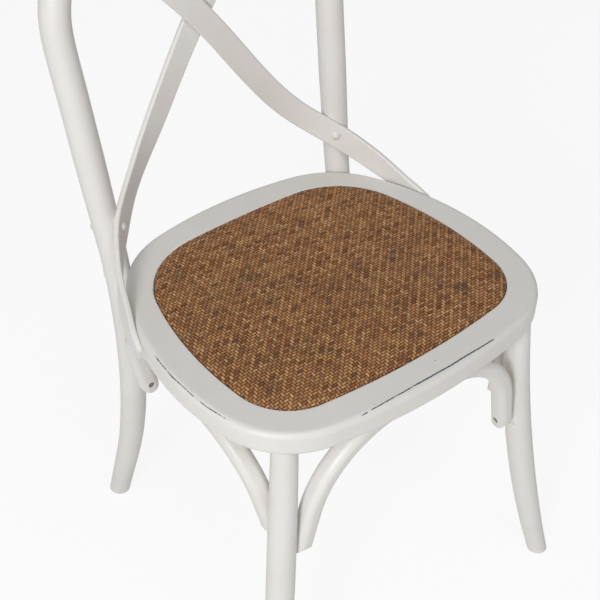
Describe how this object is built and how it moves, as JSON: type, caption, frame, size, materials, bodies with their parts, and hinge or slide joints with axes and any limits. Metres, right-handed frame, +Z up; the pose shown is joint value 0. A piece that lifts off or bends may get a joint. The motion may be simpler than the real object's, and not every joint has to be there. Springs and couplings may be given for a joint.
{
  "type": "cross back chair",
  "caption": "Painted bentwood chair with a tall hoop back, two crossed slats, a broad seat ring with a woven rattan seat, splayed legs and arched braces.",
  "frame": {"origin": "on the floor, at the middle of the whole chair's width and depth", "axes": "+Z up, -Y to the front, where the sitter faces, +X to the sitter's left"},
  "size_m": [0.4826, 0.4927, 0.89],
  "materials": {
    "painted_wood": "warm off-white satin paint, rubbed through to a dark ground on the arrises",
    "rattan": "narrow glossy brown strands in a twill weave",
    "plywood": "bare plywood",
    "steel": "zinc plated; painted over where the paint covers it",
    "glide_plastic": "matte off-white nylon"
  },
  "bodies": {
    "root": {"back_hoop": "painted_wood", "front_leg_left": "painted_wood", "front_leg_right": "painted_wood", "seat_ring": "painted_wood", "slat_left": "painted_wood", "slat_right": "painted_wood", "front_brace": "painted_wood", "back_brace": "painted_wood", "left_brace": "painted_wood", "right_brace": "painted_wood", "ear_screws": "steel", "brace_seat_screws": "steel", "slat_end_screws": "steel", "cross_screw": "steel", "slat_post_bolts": "steel", "slat_post_nuts": "steel", "hoop_bolts": "steel", "hoop_washers": "steel", "pad_screws": "steel", "glide_pins": "steel", "seat_board": "plywood", "rattan_cover": "rattan", "foot_glides": "glide_plastic"}
  },
  "joints": []
}
